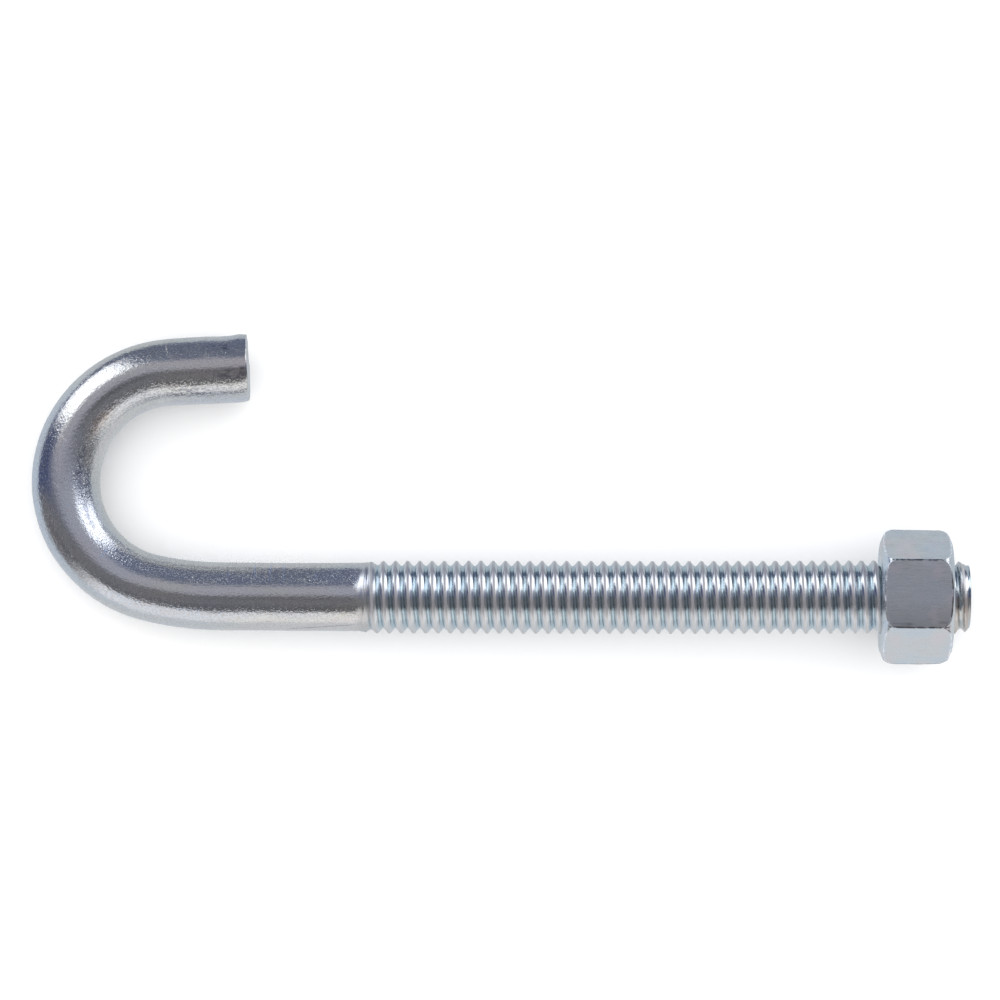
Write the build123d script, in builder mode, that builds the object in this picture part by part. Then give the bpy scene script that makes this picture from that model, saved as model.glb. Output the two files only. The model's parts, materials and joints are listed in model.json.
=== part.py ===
"""J-bolt: a steel rod with one end bent back into an open hook and the other
rolled with a 7/16-14 UNC thread, carrying one plain double-chamfered hex nut.

Row frame: the bolt lies on its side on Z = 0, as it comes to rest. The hex
nut stands taller than the rod, so the rod rises slightly from the hook (-X)
to the threaded tip (+X). The hook's free arm is on the +Y side.

The fine helical thread itself is not cut here: the threaded length is its
major-diameter envelope, and the nut's bore clears that envelope.
"""
import os
from math import asin, atan2, cos, degrees, hypot, pi, radians, sin, sqrt, tan

from build123d import *

# ------------------------------------------------------------------ dimensions
# thread
PITCH = 25.4 / 14           # 14 threads to the inch
THREAD_D = 11.0             # major diameter of the rolled 7/16-14 UNC thread
THREAD_LEN = 89.1           # run-out to tip
RUNOUT_LEN = 2.4            # taper from plain rod up to the full crest
TIP_CHAMFER_R = 1.05        # radial drop of the lead chamfer at the tip
TIP_CHAMFER_LEN = 1.2       # axial length of that chamfer

# rod and hook, along the rod's centreline (u = 0 where the bend begins)
ROD_D = 10.1                # plain rod
STRAIGHT_LEN = 110.25       # bend tangent point to threaded tip
EASE_IN_R, EASE_IN_DEG = 47.5, 14.4      # gentle start of the bend
BEND_R, BEND_DEG = 16.3, 157.9           # main bend
EASE_OUT_R, EASE_OUT_DEG = 28.9, 5.2     # gentle end of the bend
ARM_LEN = 10.23             # straight free arm after the bend
ARM_END_ROUND = 0.45        # softened edge of the sheared arm end

# nut
NUT_AF = 17.25              # width across flats
NUT_H = 10.45               # thickness
NUT_FACE_R = 8.1            # radius of the flat bearing circle on each face
NUT_CONE_R, NUT_CONE_H = 9.05, 0.42      # end of the 30 degree chamfer
NUT_ROUND_R, NUT_ROUND_H = 9.66, 0.95    # a point on the rounded shoulder
NUT_FULL_H = 2.2            # where the corners reach their full size
NUT_FACE_U = 97.2           # hook-side face of the nut, from the bend
BORE_CLEARANCE = 0.05       # radial, nut bore over thread envelope
COUNTERSINK_R = 6.1         # mouth of the bore's countersinks
COUNTERSINK_H = 0.4

# ------------------------------------------------------------------ rest pose
rod_r = ROD_D / 2
thread_r = THREAD_D / 2
corner_r = NUT_AF / 2 / cos(radians(30))


def bend_points():
    """Corners of the bend's centreline in the rod's own (u, v) plane: the
    tangent points, the heading after each arc, and the farthest point."""
    u, v, head = 0.0, 0.0, pi
    far = None
    pts = [(u, v)]
    for radius, turn in ((EASE_IN_R, EASE_IN_DEG), (BEND_R, BEND_DEG), (EASE_OUT_R, EASE_OUT_DEG)):
        cu = u + radius * cos(head - pi / 2)
        cv = v + radius * sin(head - pi / 2)
        if head >= pi / 2 >= head - radians(turn):
            far = (cu - radius, cv)         # where the rod runs straight along V
            bend_centre = (cu, cv)
        head -= radians(turn)
        u = cu - radius * cos(head - pi / 2)
        v = cv - radius * sin(head - pi / 2)
        pts.append((u, v))
    end = (u + ARM_LEN * cos(head), v + ARM_LEN * sin(head))
    return pts, head, far, bend_centre, end


tangents, arm_heading, far_point, bend_centre, arm_end = bend_points()

# the nut's lowest flat touches the floor where its hook-side chamfer begins
flat_setback = NUT_CONE_H * (NUT_AF / 2 - NUT_FACE_R) / (NUT_CONE_R - NUT_FACE_R)
nut_contact_u = NUT_FACE_U + flat_setback
# pitch: (contact u - far u) sin p = AF/2 cos p - rod_r
lever = nut_contact_u - far_point[0]
pitch = asin(rod_r / hypot(lever, NUT_AF / 2) * -1) + atan2(NUT_AF / 2, lever)
axis_z0 = rod_r - far_point[0] * sin(pitch)         # height of the axis at u = 0

x_low = far_point[0] * cos(pitch) - rod_r
tip_r = thread_r - TIP_CHAMFER_R
x_high = STRAIGHT_LEN * cos(pitch) + tip_r * sin(pitch)
y_low = -corner_r
y_high = arm_end[1] + rod_r * cos(arm_heading)
X0 = -(x_low + x_high) / 2
Y0 = -(y_low + y_high) / 2

ROD = Plane(
    origin=(X0, Y0, axis_z0),
    x_dir=(cos(pitch), 0, sin(pitch)),
    z_dir=(-sin(pitch), 0, cos(pitch)),
)


def across(u):
    """Plane square to the rod's axis at u, facing the threaded tip."""
    return Plane(origin=ROD.from_local_coords((u, 0, 0)), x_dir=ROD.y_dir, z_dir=ROD.x_dir)


# lengthwise section plane: local x = along the rod, local y = radius, up
SECTION = Plane(origin=ROD.origin, x_dir=ROD.x_dir, z_dir=-ROD.y_dir)
ROD_AXIS = Axis(ROD.origin, ROD.x_dir)

# ------------------------------------------------------------------ j_bolt
with BuildPart() as j_bolt:
    # bent rod: straight, ease-in, main bend, ease-out, straight arm
    with BuildLine(ROD) as centreline:
        straight = Line((STRAIGHT_LEN - TIP_CHAMFER_LEN, 0), (0, 0))
        ease_in = JernArc(start=(0, 0), tangent=(-1, 0), radius=EASE_IN_R, arc_size=-EASE_IN_DEG)
        h1 = pi - radians(EASE_IN_DEG)
        bend = JernArc(start=tangents[1], tangent=(cos(h1), sin(h1)), radius=BEND_R, arc_size=-BEND_DEG)
        h2 = h1 - radians(BEND_DEG)
        ease_out = JernArc(start=tangents[2], tangent=(cos(h2), sin(h2)), radius=EASE_OUT_R, arc_size=-EASE_OUT_DEG)
        arm = Line(tangents[3], arm_end)
    with BuildSketch(across(STRAIGHT_LEN - TIP_CHAMFER_LEN)):
        Circle(rod_r)
    sweep()

    # softened rim of the sheared arm end
    arm_tip = ROD.from_local_coords((arm_end[0], arm_end[1], 0))
    arm_face = j_bolt.faces().sort_by_distance(arm_tip)[0]
    fillet(arm_face.edges(), radius=ARM_END_ROUND)

    # threaded length: run-out taper, major-diameter cylinder, lead chamfer
    with BuildSketch(SECTION):
        with BuildLine():
            u0 = STRAIGHT_LEN - THREAD_LEN
            Polyline(
                (u0, 0), (u0, rod_r), (u0 + RUNOUT_LEN, thread_r),
                (STRAIGHT_LEN - TIP_CHAMFER_LEN, thread_r),
                (STRAIGHT_LEN, tip_r), (STRAIGHT_LEN, 0), close=True,
            )
        make_face()
    revolve(axis=ROD_AXIS)

j_bolt.part.label = "j_bolt"

# ------------------------------------------------------------------ hex_nut
with BuildPart() as hex_nut:
    # hexagon with one pair of flats level with the hook's plane
    with BuildSketch(across(NUT_FACE_U)):
        RegularPolygon(radius=corner_r, side_count=6, rotation=0)
    extrude(amount=NUT_H)

    # both faces chamfered and rounded over into the corners
    with BuildSketch(SECTION):
        with BuildLine():
            a, b = NUT_FACE_U, NUT_FACE_U + NUT_H
            full = corner_r + 0.02
            Polyline((a, 0), (a, NUT_FACE_R), (a + NUT_CONE_H, NUT_CONE_R))
            ThreePointArc((a + NUT_CONE_H, NUT_CONE_R), (a + NUT_ROUND_H, NUT_ROUND_R), (a + NUT_FULL_H, full))
            Line((a + NUT_FULL_H, full), (b - NUT_FULL_H, full))
            ThreePointArc((b - NUT_FULL_H, full), (b - NUT_ROUND_H, NUT_ROUND_R), (b - NUT_CONE_H, NUT_CONE_R))
            Polyline((b - NUT_CONE_H, NUT_CONE_R), (b, NUT_FACE_R), (b, 0))
            Line((b, 0), (a, 0))
        make_face()
    revolve(axis=ROD_AXIS, mode=Mode.INTERSECT)

    # bore over the thread envelope, countersunk at both mouths
    with BuildSketch(SECTION):
        with BuildLine():
            bore_r = thread_r + BORE_CLEARANCE
            Polyline(
                (a - 1, 0), (a - 1, COUNTERSINK_R), (a, COUNTERSINK_R),
                (a + COUNTERSINK_H, bore_r), (b - COUNTERSINK_H, bore_r),
                (b, COUNTERSINK_R), (b + 1, COUNTERSINK_R), (b + 1, 0), close=True,
            )
        make_face()
    revolve(axis=ROD_AXIS, mode=Mode.SUBTRACT)

hex_nut.part.label = "hex_nut"

# ------------------------------------------------------------------ export
os.makedirs("parts", exist_ok=True)
export_step(j_bolt.part, "parts/j_bolt.step")
export_step(hex_nut.part, "parts/hex_nut.step")

print("pitch deg", degrees(pitch), "axis z at bend", axis_z0, "X0", X0, "Y0", Y0)
print("axis dir", tuple(ROD.x_dir), "hook plane normal", tuple(ROD.z_dir))
print("bend centre local", bend_centre, "far", far_point, "arm end", arm_end, "heading", degrees(arm_heading))
for p in (j_bolt.part, hex_nut.part):
    bb = p.bounding_box()
    print(p.label, "volume", p.volume, "bbox", tuple(bb.min), tuple(bb.max), "centre", tuple(p.center()))
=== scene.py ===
import json
import math

import bpy
import numpy as np
from mathutils import Matrix, Vector


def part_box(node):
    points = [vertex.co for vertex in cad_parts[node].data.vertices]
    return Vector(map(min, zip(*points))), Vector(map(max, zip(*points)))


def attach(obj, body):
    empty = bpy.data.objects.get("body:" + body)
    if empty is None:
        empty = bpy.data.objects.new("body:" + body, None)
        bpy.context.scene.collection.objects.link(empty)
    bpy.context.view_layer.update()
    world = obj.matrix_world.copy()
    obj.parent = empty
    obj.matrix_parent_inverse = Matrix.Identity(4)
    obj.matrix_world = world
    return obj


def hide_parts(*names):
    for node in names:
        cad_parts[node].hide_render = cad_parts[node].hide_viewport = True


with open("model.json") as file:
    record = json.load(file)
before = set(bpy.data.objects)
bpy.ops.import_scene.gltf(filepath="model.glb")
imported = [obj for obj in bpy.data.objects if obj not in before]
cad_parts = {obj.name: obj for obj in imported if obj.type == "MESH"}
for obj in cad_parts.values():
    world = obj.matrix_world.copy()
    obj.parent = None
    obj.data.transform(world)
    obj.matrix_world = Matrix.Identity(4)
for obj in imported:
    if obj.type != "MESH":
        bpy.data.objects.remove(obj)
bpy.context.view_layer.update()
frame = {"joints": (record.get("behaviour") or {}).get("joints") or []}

# ---------------------------------------------------------------------------
# The rod's own frame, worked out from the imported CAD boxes. Millimetres are
# used while the meshes are made; they go to metres at the end.
# u runs along the rod towards the threaded tip, v towards the free arm, h up.
# ---------------------------------------------------------------------------
MM = 0.001
rod_lo, rod_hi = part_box("j_bolt")
nut_lo, nut_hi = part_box("hex_nut")

PITCH = 25.4 / 14
ROD_R = 5.05
STRAIGHT = 110.25
ARCS = ((47.5, 14.4), (16.3, 157.9), (28.9, 5.2))
ARM = 10.23
NUT_AF = 17.25
NUT_H = 10.45
NUT_U = 97.2

axis = Vector(frame["joints"][0]["axis"]).normalized()
pitch = math.asin(axis.z)
CP, SP = math.cos(pitch), math.sin(pitch)


def bend_table():
    """(start heading, arc centre, radius, turn, arc length) for each arc, then the arm's start and heading."""
    u, v, head = 0.0, 0.0, math.pi
    rows = []
    for radius, turn in ARCS:
        t = math.radians(turn)
        cu = u + radius * math.cos(head - math.pi / 2)
        cv = v + radius * math.sin(head - math.pi / 2)
        rows.append((head, cu, cv, radius, t, radius * t))
        head -= t
        u = cu - radius * math.cos(head - math.pi / 2)
        v = cv - radius * math.sin(head - math.pi / 2)
    return rows, (u, v, head)


bends, (arm_u, arm_v, arm_head) = bend_table()
far_u = bends[1][1] - bends[1][3]
end_v = arm_v + ARM * math.sin(arm_head)
X0 = rod_lo.x / MM + ROD_R - far_u * CP
Y0 = rod_hi.y / MM - end_v - ROD_R * math.cos(arm_head)
Z0 = ROD_R - far_u * SP


def to_row(u, v, h):
    """Rod coordinates in mm to the row frame in metres."""
    return np.stack([X0 + u * CP - h * SP, Y0 + v, Z0 + u * SP + h * CP], axis=-1) * MM


def centreline(s):
    """Centreline point and inward direction at u = s; s below 0 runs round the bend to the arm's end."""
    s = np.asarray(s, float)
    pu, pv = np.where(s > 0, s, 0.0), np.zeros_like(s)
    head = np.full_like(s, math.pi)
    left = -s
    for h0, cu, cv, radius, turn, length in bends:
        on = (left > 0) & (left <= length)
        a = h0 - np.clip(left, 0, length) / radius
        pu = np.where(on, cu - radius * np.cos(a - math.pi / 2), pu)
        pv = np.where(on, cv - radius * np.sin(a - math.pi / 2), pv)
        head = np.where(on, a, head)
        left = np.where(left > 0, left - length, left)
        left = np.where(on, -1.0, left)
    on = left > 0
    pu = np.where(on, arm_u + left * math.cos(arm_head), pu)
    pv = np.where(on, arm_v + left * math.sin(arm_head), pv)
    head = np.where(on, arm_head, head)
    return pu, pv, np.sin(head), -np.cos(head)


BEND_LEN = sum(b[5] for b in bends)
ARM_U = -(BEND_LEN + ARM)                  # u of the sheared arm end


# ---------------------------------------------------------------- smooth noise
def hash01(*k):
    n = np.zeros(np.broadcast(*k).shape, np.uint64)
    for i, x in enumerate(k):
        n = n * np.uint64(6364136223846793005) + (np.asarray(x).astype(np.int64).astype(np.uint64) + np.uint64(1013904223 + 7919 * i))
        n ^= n >> np.uint64(29)
        n = n * np.uint64(0xBF58476D1CE4E5B9)
        n ^= n >> np.uint64(32)
    return (n & np.uint64(0xFFFFFF)).astype(float) / float(0xFFFFFF) * 2 - 1


def noise3(x, y, z, seed=0):
    """Value noise with smooth steps, -1 to 1."""
    xi, yi, zi = np.floor(x), np.floor(y), np.floor(z)
    fx, fy, fz = x - xi, y - yi, z - zi
    fx, fy, fz = (f * f * f * (f * (f * 6 - 15) + 10) for f in (fx, fy, fz))
    out = 0.0
    for a in (0, 1):
        for b in (0, 1):
            for c in (0, 1):
                w = (fx if a else 1 - fx) * (fy if b else 1 - fy) * (fz if c else 1 - fz)
                out = out + w * hash01(xi + a, yi + b, zi + c, np.full_like(xi, seed))
    return out


def smooth(x, a, b):
    t = np.clip((x - a) / (b - a), 0, 1)
    return t * t * (3 - 2 * t)


def soft_min(a, b, k):
    h = np.clip(0.5 + 0.5 * (b - a) / k, 0, 1)
    return b + (a - b) * h - k * h * (1 - h)


# ------------------------------------------------------------------ rod shape
CREST_U = 25.504            # a crest on the +v side
# half a thread: distance from the crest's middle, radius
HALF = [(0.0, 5.378), (0.06, 5.400), (0.125, 5.386), (0.19, 5.334), (0.26, 5.250), (0.36, 5.114),
        (0.46, 4.978), (0.56, 4.850), (0.66, 4.756), (0.77, 4.680), (0.865, 4.628), (PITCH / 2, 4.620)]
ROWS = 2 * (len(HALF) - 1)
# slope of each of those stretches as it takes the light
FLANK = [0.0, 0.12, 0.28, 0.48, 0.66, 0.75, 0.82, 9, 9, 9, 9]
COLS = 74
STEP = PITCH / ROWS
HALF_X = np.array([p[0] for p in HALF])
HALF_R = np.array([p[1] for p in HALF])
WARP = np.array([(HALF_X[i] if i < len(HALF) else PITCH - HALF_X[ROWS - i]) - i * STEP for i in range(ROWS)])
THREAD_U = 21.15
END_ROUND = 0.30
TIP_R = 4.34


# the bend thins and thickens the rod: radius on the bend's outer and inner side
OUT_U = [-71.0, -67.5, -65, -62.5, -60, -57.5, -55, -52.5, -48, -44, -40, -37.5, -35, -32.5, -30, -27.5, -25, -22.5, -20, -17.5, -15, -10, -5, 0, 5, 10, 14]
OUT_R = [5.03, 5.05, 5.10, 5.10, 5.07, 5.03, 4.98, 4.95, 4.96, 4.99, 5.03, 5.03, 5.04, 5.03, 4.99, 4.99, 4.98, 4.90, 4.89, 4.92, 4.94, 5.03, 5.01, 5.02, 5.03, 5.04, 5.05]
IN_U = [-71.0, -67.5, -65, -60, -57.5, -55, -52.5, -50, -47.5, -45, -42.5, -40, -37.5, -35, -32.5, -30, -25, -20, -17.5, -15, -12.5, -10, -7.5, -5, -2.5, 0, 2.5, 5, 7.5, 10, 14]
IN_R = [4.96, 4.99, 5.0, 4.99, 4.95, 4.94, 4.94, 4.96, 4.96, 4.96, 5.0, 5.04, 5.10, 5.13, 5.13, 5.11, 5.10, 5.07, 5.04, 5.0, 4.97, 5.0, 5.02, 5.07, 5.09, 5.08, 5.07, 5.05, 5.03, 5.04, 5.05]
# lead chamfer of the tip against the distance from its end, on the -v and on the +v side
TIP_LOW = ([0.0, 0.10, 0.20, 0.35, 0.50, 0.65, 1.1, 1.7], [4.36, 4.52, 4.68, 4.89, 5.07, 5.20, 5.52, 5.9])
TIP_UP = ([0.0, 0.10, 0.35, 0.90, 1.35, 2.0, 2.8], [4.58, 4.69, 4.78, 4.88, 5.20, 5.38, 5.9])


def rod_radius(u, phi):
    """Radius of the rod at u, going phi round from +v towards +h."""
    a, b = 5 * np.cos(phi), 5 * np.sin(phi)
    x = np.mod(u - CREST_U - PITCH * phi / (2 * math.pi), PITCH)
    x = np.minimum(x, PITCH - x)
    thread = np.interp(x, HALF_X, HALF_R)
    # rolled crests are not dead even: long waves and small ticks
    crest = smooth(thread, 5.05, 5.42)
    thread = thread + crest * (0.014 * noise3(u / 3.1, a / 4.0, b / 4.0, 3) + 0.012 * noise3(u / 1.81, a / 1.3, b / 1.3, 4))
    thread = thread + (1 - smooth(thread, 4.65, 4.95)) * 0.010 * noise3(u / 2.3, a / 2.0, b / 2.0, 5)
    start = THREAD_U + 0.10 + 0.35 * np.cos(phi) + 0.08 * noise3(u * 0 + 0.5, a / 4.0, b / 4.0, 6)
    grow = smooth(u, start - 0.3, start + 2.9)
    thread = thread - (1 - grow) * smooth(thread, 4.9, 5.4) * 0.16 + (1 - smooth(u, start, start + 2.4)) * (1 - smooth(thread, 4.6, 5.1)) * 0.24
    into = smooth(u, start - 0.25, start + 0.35)
    c = np.cos(phi)
    out_w, in_w = np.clip(-c, 0, 1) ** 2, np.clip(c, 0, 1) ** 2
    plain = 5.04 + out_w * (np.interp(u, OUT_U, OUT_R) - 5.04) + in_w * (np.interp(u, IN_U, IN_R) - 5.04)
    plain = plain + 0.03 * smooth(u, 16.0, 18.5) + 0.07 * smooth(u, start - 1.0, start)
    plain = plain + 0.008 * noise3(u / 6.0, a / 3.5, b / 3.5, 7)
    r = plain * (1 - into) + thread * into
    # lead chamfer of the rolled tip
    end = STRAIGHT - u
    up = 0.5 + 0.5 * c
    env = up * np.interp(end, *TIP_UP) + (1 - up) * np.interp(end, *TIP_LOW)
    r = np.where(end < 2.8, soft_min(r, env, 0.05), r)
    # sheared arm end: a shallow dip, then a burr pushed up on the outer side
    d = u - ARM_U
    outer = smooth(-np.cos(phi), 0.45, 0.98)
    r = r + outer * (0.20 * np.exp(-((d - 0.55) / 1.15) ** 2) - 0.055 * np.exp(-((d - 3.9) / 1.0) ** 2))
    r = r - 0.10 * smooth(np.cos(phi), 0.2, 1.0) * np.exp(-(d / 0.9) ** 2)
    return r


def bow(u):
    """The rolled shank is not dead straight: sideways offset towards -v."""
    return -0.045 * smooth(u, 3.0, 14.0) - 0.030 * smooth(u, 20.0, 55.0) + 0.075 * smooth(u, 70.0, 96.0)


def rod_point(q, phi):
    """Meridian coordinate q to (u, radius): the rod's side, its rounded arm end and the two end faces."""
    u = q.copy()
    inset = np.zeros_like(q)
    # arm end
    e = END_ROUND
    crisp = smooth(-np.cos(phi), -0.35, 0.45)      # sheared sharp on the outer side, pulled round on the inner
    o = (ARM_U + e) - q                        # distance past the start of the rounding
    on = o > 0
    ang = np.clip(o / e, 0, math.pi / 2)
    sn = np.sin(ang)
    drop = e * (1 - np.cos(ang))
    # squares the corner up where the cut is crisp
    k = 1 - 0.80 * crisp
    u = np.where(on, ARM_U + e - e * sn, u)
    inset = np.where(on, drop * k, inset)
    u = np.where(on, u - (1 - k) * 0.6 * e * (np.sqrt(np.clip(sn, 0, 1)) - sn), u)
    past = np.clip(o - e * math.pi / 2, 0, None)
    side = rod_radius(np.where(on, ARM_U + e * 0.4, q), phi)
    flat = side - e * k
    scale = np.where(past > 0, np.clip(1 - past / (ROD_R - e), 0, 1), 1.0)
    r_arm = np.where(past > 0, flat * scale, side - inset)
    # a sheared face: slightly slanted, torn lower half
    cx, cy = r_arm * np.cos(phi), r_arm * np.sin(phi)
    shear = 0.33 + 0.068 * cy + np.interp(cx, [-5.1, -1.6, -1.0, 5.0], [-0.10, -0.12, 0.0, 0.0]) + 0.05 * noise3(cx / 1.3, cy / 1.3, cx * 0, 11) * smooth(r_arm, 0.0, 3.0)
    u_arm = u - np.where(on, smooth(o, 0, e * 1.2), 0) * shear
    # tip
    t0 = STRAIGHT - 0.12
    p = q - t0
    tip = p > 0
    ang = np.clip(p / 0.12, 0, math.pi / 2)
    u_tip = t0 + 0.12 * np.sin(ang)
    past = np.clip(p - 0.12 * math.pi / 2, 0, None)
    edge = rod_radius(np.full_like(q, t0), phi)
    r_tip = np.where(past > 0, (edge - 0.12) * np.clip(1 - past / (TIP_R - 0.12), 0, 1), edge - 0.12 * (1 - np.cos(ang)))
    cup = 0.16 * (1 - smooth(r_tip, 2.2, 4.1))
    u_tip = u_tip - np.where(past > 0, cup, 0)
    uu = np.where(tip, u_tip, np.where(on, u_arm, q))
    rr = np.where(tip, r_tip, np.where(on, r_arm, side))
    return uu, np.maximum(rr, 0)


def row_step(q):
    """Spacing of the mesh rows along the meridian."""
    if q > STRAIGHT - 0.12 + 0.35:
        return 0.34
    if q > STRAIGHT - 0.25:
        return 0.07
    if q > THREAD_U - 1.0:
        return STEP
    if q > THREAD_U - 6.0:
        t = (THREAD_U - 1.0 - q) / 5.0
        return STEP + (0.56 - STEP) * t * t * (3 - 2 * t)
    if q > ARM_U + 4.0:
        return 0.56
    if q > ARM_U + 1.2:
        return 0.16 + 0.40 * (q - ARM_U - 1.2) / 2.8
    if q > ARM_U - 0.3:
        return 0.10
    return 0.42


def build_rod():
    top = STRAIGHT + 0.12 * (math.pi / 2 - 1) + (TIP_R - 0.12) + 0.5
    low = ARM_U + END_ROUND * (1 - math.pi / 2) - (ROD_R - END_ROUND) - 0.5
    # meridian coordinate against row number, row 0 on a crest
    up_w, up_q = [0.0], [CREST_U]
    while up_q[-1] < top:
        up_q.append(up_q[-1] + row_step(up_q[-1]))
        up_w.append(up_w[-1] + 1)
    dn_w, dn_q = [0.0], [CREST_U]
    while dn_q[-1] > low:
        dn_q.append(dn_q[-1] - row_step(dn_q[-1]))
        dn_w.append(dn_w[-1] - 1)
    w_tab = np.array(dn_w[::-1] + up_w[1:])
    q_tab = np.array(dn_q[::-1] + up_q[1:])
    i0 = int(w_tab[0]) - ROWS
    i1 = int(w_tab[-1]) + 1
    rows = np.arange(i0, i1 + 1)
    jj = np.arange(COLS)
    W = rows[:, None] + ROWS * jj[None, :] / COLS
    Q = np.interp(W, w_tab, q_tab)
    below, above = W < w_tab[0], W > w_tab[-1]
    Q = np.where(below, low - 1, np.where(above, top + 1, Q))
    keep_warp = smooth(Q, THREAD_U - 1.2, THREAD_U + 0.4) * (1 - smooth(Q, STRAIGHT - 0.7, STRAIGHT - 0.25))
    Q = Q + keep_warp * WARP[np.mod(rows, ROWS)][:, None]
    phi = np.broadcast_to(2 * math.pi * jj / COLS, Q.shape)
    u, r = rod_point(Q, phi)
    cu, cv, nu, nv = centreline(u)
    a, b = r * np.cos(phi), r * np.sin(phi)
    P = to_row(cu + a * nu, cv + a * nv + bow(u), b)
    co = np.stack([u, a, b], axis=-1)
    n_rows = len(rows)
    idx = np.arange(n_rows * COLS).reshape(n_rows, COLS)
    tris = []
    for j in range(COLS):
        if j < COLS - 1:
            A, B = idx[:-1, j], idx[1:, j]
            C, D = idx[:-1, j + 1], idx[1:, j + 1]
        else:
            A, B = idx[: n_rows - 1 - ROWS, j], idx[1 : n_rows - ROWS, j]
            C, D = idx[ROWS:-1, 0], idx[ROWS + 1 :, 0]
        tris.append(np.stack([A, B, C], axis=1))
        tris.append(np.stack([B, D, C], axis=1))
    return P.reshape(-1, 3), co.reshape(-1, 3), np.concatenate(tris)


def clean_mesh(name, P, tris, attrs, merge=2e-7):
    """Builds a mesh, merges coincident vertices and drops faces without area."""
    key = np.round(P / merge).astype(np.int64)
    _, first, inverse = np.unique(key, axis=0, return_index=True, return_inverse=True)
    inverse = inverse.reshape(-1)
    T = inverse[tris]
    ok = (T[:, 0] != T[:, 1]) & (T[:, 1] != T[:, 2]) & (T[:, 0] != T[:, 2])
    T = T[ok]
    V = P[first]
    area = np.linalg.norm(np.cross(V[T[:, 1]] - V[T[:, 0]], V[T[:, 2]] - V[T[:, 0]]), axis=1)
    T = T[area > 1e-16]
    used = np.unique(T)
    remap = -np.ones(len(V), np.int64)
    remap[used] = np.arange(len(used))
    V, T = V[used], remap[T]
    me = bpy.data.meshes.new(name)
    me.vertices.add(len(V))
    me.vertices.foreach_set("co", V.astype(np.float32).ravel())
    me.loops.add(len(T) * 3)
    me.loops.foreach_set("vertex_index", T.astype(np.int32).ravel())
    me.polygons.add(len(T))
    me.polygons.foreach_set("loop_start", np.arange(0, len(T) * 3, 3, dtype=np.int32))
    me.update(calc_edges=True)
    for n, (kind, values) in attrs.items():
        at = me.attributes.new(n, kind, "POINT")
        data = np.asarray(values)[first][used].astype(np.float32)
        at.data.foreach_set("vector" if kind == "FLOAT_VECTOR" else "value", data.ravel())
    me.validate()
    me.shade_smooth()
    ob = bpy.data.objects.new(name, me)
    bpy.context.scene.collection.objects.link(ob)
    return ob


P, co, tris = build_rod()
# attribute: wear of the thread area (1 on the thread), used by the material
th = smooth(co[:, 0], THREAD_U - 1.6, THREAD_U - 0.2)
radius = np.hypot(co[:, 1], co[:, 2])
# rolled flanks are slightly full between the lip and the groove: height for the bump, in units of 0.3 mm
cross = np.mod(co[:, 0] - CREST_U - PITCH * np.arctan2(co[:, 2], co[:, 1]) / (2 * math.pi), PITCH)
cross = np.minimum(cross, PITCH - cross)
crest_at = smooth(radius, 4.84, 5.04) * smooth(co[:, 0], THREAD_U + 0.3, THREAD_U + 1.2)
top_at = (1 - smooth(cross, 0.12, 0.27)) * smooth(co[:, 0], THREAD_U + 0.3, THREAD_U + 1.2)
groove_at = (1 - smooth(radius, 4.72, 4.92)) * smooth(co[:, 0], THREAD_U - 0.2, THREAD_U + 0.8)
FULL = np.cumsum([0.0] + [max(0.0, -(HALF_R[i + 1] - HALF_R[i]) - FLANK[i] * (HALF_X[i + 1] - HALF_X[i])) for i in range(len(HALF) - 1)]) / 0.3
swell = np.clip(co[:, 0] - (THREAD_U - 1.6), 0, 1.7)       # the rod swells a little where the rolling began
full_at = (0.08 * swell + 0.075 * swell ** 2) / 0.3 + np.interp(cross, HALF_X, FULL) * smooth(co[:, 0], THREAD_U + 0.2, THREAD_U + 1.4) * (1 - smooth(co[:, 0], STRAIGHT - 1.6, STRAIGHT - 0.9))
scuff_at = smooth(co[:, 0], THREAD_U - 1.8, THREAD_U - 0.2) * (1 - smooth(co[:, 0], THREAD_U + 1.0, THREAD_U + 2.2))
rod = clean_mesh("j_bolt_zinc", P, tris, {
    "rodco": ("FLOAT_VECTOR", co), "thread": ("FLOAT", th),
    "crest": ("FLOAT", crest_at), "top": ("FLOAT", top_at), "groove": ("FLOAT", groove_at),
    "full": ("FLOAT", full_at), "scuff": ("FLOAT", scuff_at)})
import bmesh
bm = bmesh.new(); bm.from_mesh(rod.data)
bmesh.ops.recalc_face_normals(bm, faces=bm.faces)
bm.to_mesh(rod.data); bm.free()
rod.data.shade_smooth()
rod.data.set_sharp_from_angle(angle=math.radians(62))

# ------------------------------------------------------------------ nut shape
APOTHEM = NUT_AF / 2
CORNER_ROUND = 0.26
# radius against depth from the nut's face: the cone seen on the flats, and
# the softer shoulder that the corners are pressed into
FINE_A = np.linspace(0, 3.2, 321)
CONE_R = np.interp(FINE_A, [0.0, 0.08, 0.25, 0.40, 0.66, 0.95, 1.1, 1.4], [8.05, 8.28, 8.625, 9.04, 9.57, 9.92, 10.0, 10.2])
SHOULDER_R = np.interp(FINE_A, [0.0, 0.06, 0.17, 0.40, 0.58, 0.86, 1.15, 1.45, 1.8, 2.2, 2.6], [8.05, 8.25, 8.5, 9.0, 9.3, 9.6, 9.78, 9.88, 9.93, 9.955, 10.1])


def soften(r):
    k = np.hanning(9); k /= k.sum()
    out = np.convolve(np.pad(r, 4, mode="reflect", reflect_type="odd"), k, mode="valid")
    out[0] = r[0]
    return out


CONE_R, SHOULDER_R = soften(CONE_R), soften(SHOULDER_R)
TILT = 0.0088               # the nut sits on its thread with a little play


def nut_row(a, y, h):
    """Nut coordinates (depth from the face, across, up) to the row frame, with the nut's slight tilt."""
    return to_row(NUT_U + a + TILT * y, y - TILT * (a - NUT_H / 2), h)


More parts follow.
